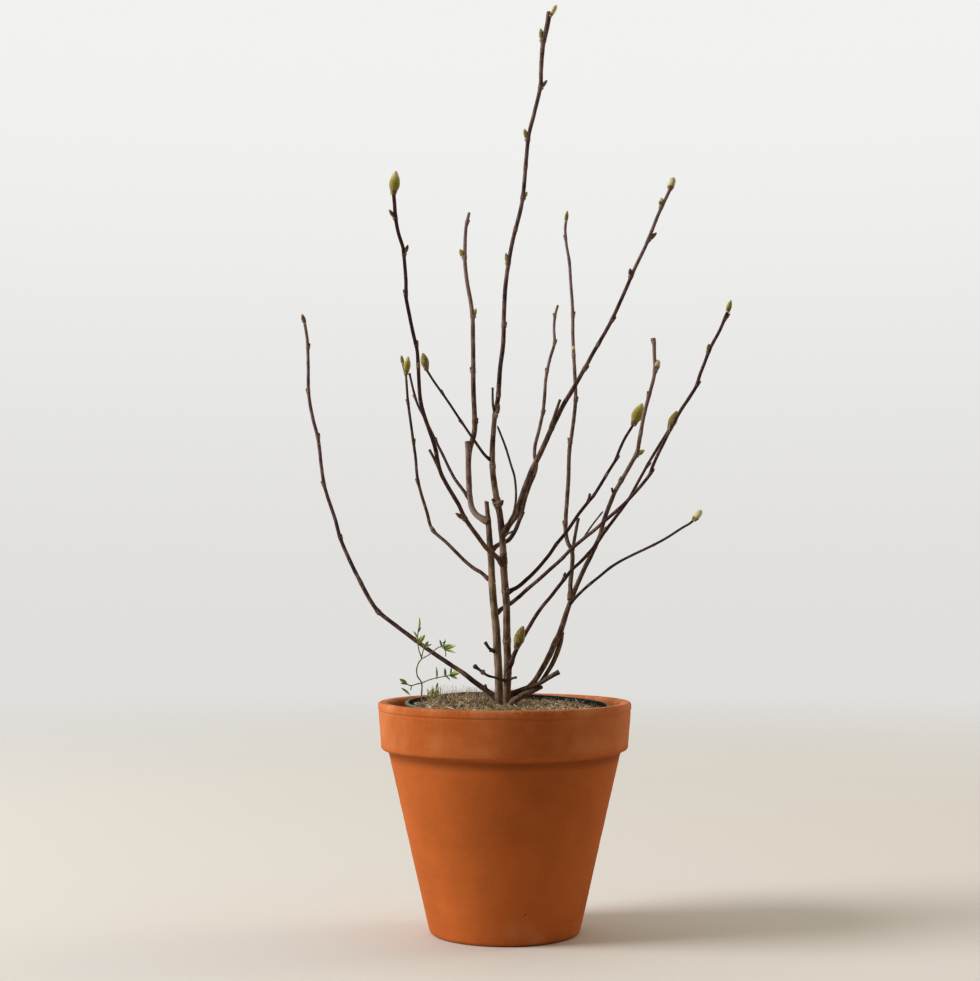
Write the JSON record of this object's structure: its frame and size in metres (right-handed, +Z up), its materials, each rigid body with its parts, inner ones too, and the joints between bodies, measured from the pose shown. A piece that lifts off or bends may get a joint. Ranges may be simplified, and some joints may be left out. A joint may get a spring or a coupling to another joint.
{
  "type": "potted magnolia shrub",
  "caption": "Young bare shrub in winter bud: slender upright and arching shoots with side buds and furry flower buds, in a black plastic pot wedged inside a tapered clay pot.",
  "frame": {"origin": "middle of the clay pot's flat foot, on the floor", "axes": "+Z up; +Y away from the viewer of the picture; +X to the viewer's right"},
  "size_m": [0.4725, 0.3318, 1.0376],
  "materials": {
    "terracotta": "matt fired clay, unglazed, with a pale dusty bloom",
    "black_plastic": "moulded black plastic, dusty",
    "soil": "dark crumbly potting soil",
    "dry_grass": "matted dead grass blades",
    "bark": "smooth thin bark, grey brown on old wood and purple brown on young shoots",
    "furry_bud": "yellow green bud scales covered in short silky hairs",
    "leaf_bud": "olive brown bud scales with fine down",
    "green_leaf": "soft fresh leaves and thin green stems"
  },
  "bodies": {
    "root": {"arched_twig": "bark", "back_upright_shoot": "bark", "basal_spur": "bark", "clay_pot": "terracotta", "crossing_twig": "bark", "dry_grass_mat": "dry_grass", "flower_bud_basal": "furry_bud", "flower_bud_crossing": "furry_bud", "flower_bud_left": "furry_bud", "flower_bud_low": "furry_bud", "flower_bud_lower_left": "furry_bud", "flower_bud_middle": "furry_bud", "grower_pot": "black_plastic", "inner_left_twig": "bark", "leader_stem": "bark", "leader_top_bud": "leaf_bud", "leaf_bud_01": "leaf_bud", "leaf_bud_02": "leaf_bud", "leaf_bud_03": "leaf_bud", "leaf_bud_04": "leaf_bud", "leaf_bud_05": "leaf_bud", "leaf_bud_06": "leaf_bud", "leaf_bud_07": "leaf_bud", "leaf_bud_08": "leaf_bud", "leaf_bud_09": "leaf_bud", "leaf_bud_10": "leaf_bud", "leaf_bud_11": "leaf_bud", "leaf_bud_12": "leaf_bud", "leaf_bud_13": "leaf_bud", "leaf_bud_14": "leaf_bud", "leaf_bud_15": "leaf_bud", "leaf_bud_16": "leaf_bud", "leaf_bud_17": "leaf_bud", "leaf_bud_18": "leaf_bud", "left_branch": "bark", "left_upright_shoot": "bark", "long_right_branch": "bark", "low_right_branch": "bark", "lower_left_twig": "bark", "middle_right_branch": "bark", "opening_bud_reaching": "furry_bud", "opening_bud_right": "furry_bud", "opening_bud_stem": "furry_bud", "potting_soil": "soil", "pruned_stem": "bark", "reaching_twig": "bark", "right_branch": "bark", "right_inner_shoot": "bark", "right_stem": "bark", "right_twin_stem": "bark", "seedling": "green_leaf", "sweeping_stem": "bark", "tip_bud_back": "leaf_bud", "tip_bud_long": "leaf_bud", "tip_bud_lower_left": "leaf_bud", "tip_bud_sweeping": "leaf_bud"}
  },
  "joints": []
}
